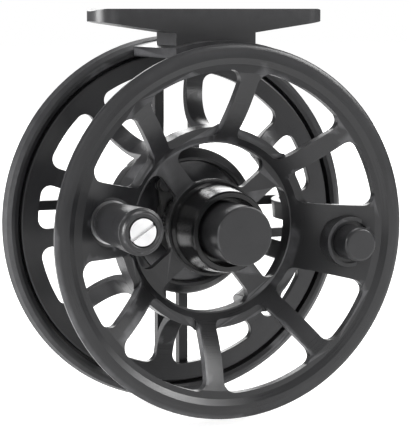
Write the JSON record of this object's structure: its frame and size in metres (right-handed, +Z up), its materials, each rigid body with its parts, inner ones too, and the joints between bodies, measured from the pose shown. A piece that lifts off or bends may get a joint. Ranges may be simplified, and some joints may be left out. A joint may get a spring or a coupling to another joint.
{
  "type": "fly reel",
  "caption": "Large-arbor fly reel with an open half frame, ported spool, turning handle, counterweight, spool release cap, disc brake with click, rear brake knob and rod foot.",
  "frame": {"origin": "middle of the foot's seat on the rod", "axes": "+Z up to the rod, +X to the right seen from the handle side, along the rod; -Y out of the handle side, so the spool turns about Y"},
  "size_m": [0.0892, 0.0607, 0.0955],
  "materials": {
    "black_anodised": "satin black anodised, finely turned",
    "black_gloss": "glossy black anodised",
    "handle_black": "satin black anodised",
    "bright_steel": "polished stainless steel",
    "plain_steel": "ground stainless steel",
    "spring_steel": "spring steel",
    "brake_fibre": "carbon fibre brake material",
    "bearing_plastic": "pale acetal",
    "seal_rubber": "black rubber",
    "black_acetal": "black acetal",
    "black_oxide": "blackened steel"
  },
  "bodies": {
    "frame": {"frame": "black_anodised", "reel_foot": "black_anodised", "foot_screws": "plain_steel", "spindle": "plain_steel", "retaining_clip": "spring_steel", "brake_housing": "black_anodised", "housing_cover": "black_gloss", "housing_screws": "plain_steel", "shaft_seal": "seal_rubber", "front_brake_washer": "brake_fibre", "rear_brake_washer": "brake_fibre", "pressure_plate": "plain_steel", "disc_spring": "spring_steel", "thrust_pins": "plain_steel", "pawl_pin": "black_oxide", "click_spring": "spring_steel", "knob_screw": "plain_steel", "detent_ball": "bright_steel", "detent_spring": "spring_steel"},
    "spool": {"spool_front": "black_anodised", "spool_back": "black_anodised", "front_bush": "bearing_plastic", "rear_bush": "black_acetal", "handle_washer": "bright_steel", "handle_post": "plain_steel", "handle_screw": "bright_steel", "counterweight": "handle_black", "counterweight_screw": "plain_steel"},
    "handle": {"handle_knob": "handle_black"},
    "cap": {"release_cap": "black_anodised", "cap_spring": "spring_steel"},
    "drive": {"drive_hub": "black_oxide", "drive_pins": "plain_steel", "click_gear": "black_oxide"},
    "disc": {"brake_disc": "plain_steel", "one_way_clutch": "plain_steel"},
    "pawl": {"click_pawl": "black_acetal"},
    "rear_knob": {"drag_knob": "black_anodised"}
  },
  "joints": [
    {"name": "spool_spin", "type": "hinge", "parent": "frame", "child": "spool", "pos_m": [0, 0, -0.0509], "axis": [0, 1, 0], "continuous": true},
    {"name": "handle_spin", "type": "hinge", "parent": "spool", "child": "handle", "pos_m": [-0.02878, 0, -0.04737], "axis": [0, 1, 0], "continuous": true},
    {"name": "cap_slide", "type": "slide", "parent": "spool", "child": "cap", "axis": [0, -1, 0], "range_m": [0, 0.002], "stiffness_N_per_m": 400},
    {"name": "drive_spin", "type": "hinge", "parent": "frame", "child": "drive", "pos_m": [0, 0, -0.0509], "axis": [0, 1, 0], "continuous": true},
    {"name": "disc_spin", "type": "hinge", "parent": "frame", "child": "disc", "pos_m": [0, 0, -0.0509], "axis": [0, 1, 0], "continuous": true},
    {"name": "pawl_swing", "type": "hinge", "parent": "frame", "child": "pawl", "pos_m": [-0.00714, 0, -0.04176], "axis": [0, 1, 0], "range_deg": [0, 8], "stiffness_Nm_per_rad": 0.002},
    {"name": "knob_turn", "type": "hinge", "parent": "frame", "child": "rear_knob", "pos_m": [0, 0, -0.0509], "axis": [0, 1, 0], "range_deg": [0, 330]}
  ],
  "couplings": [
    {"joint": "drive_spin", "follows": "spool_spin", "ratio": 1}
  ]
}
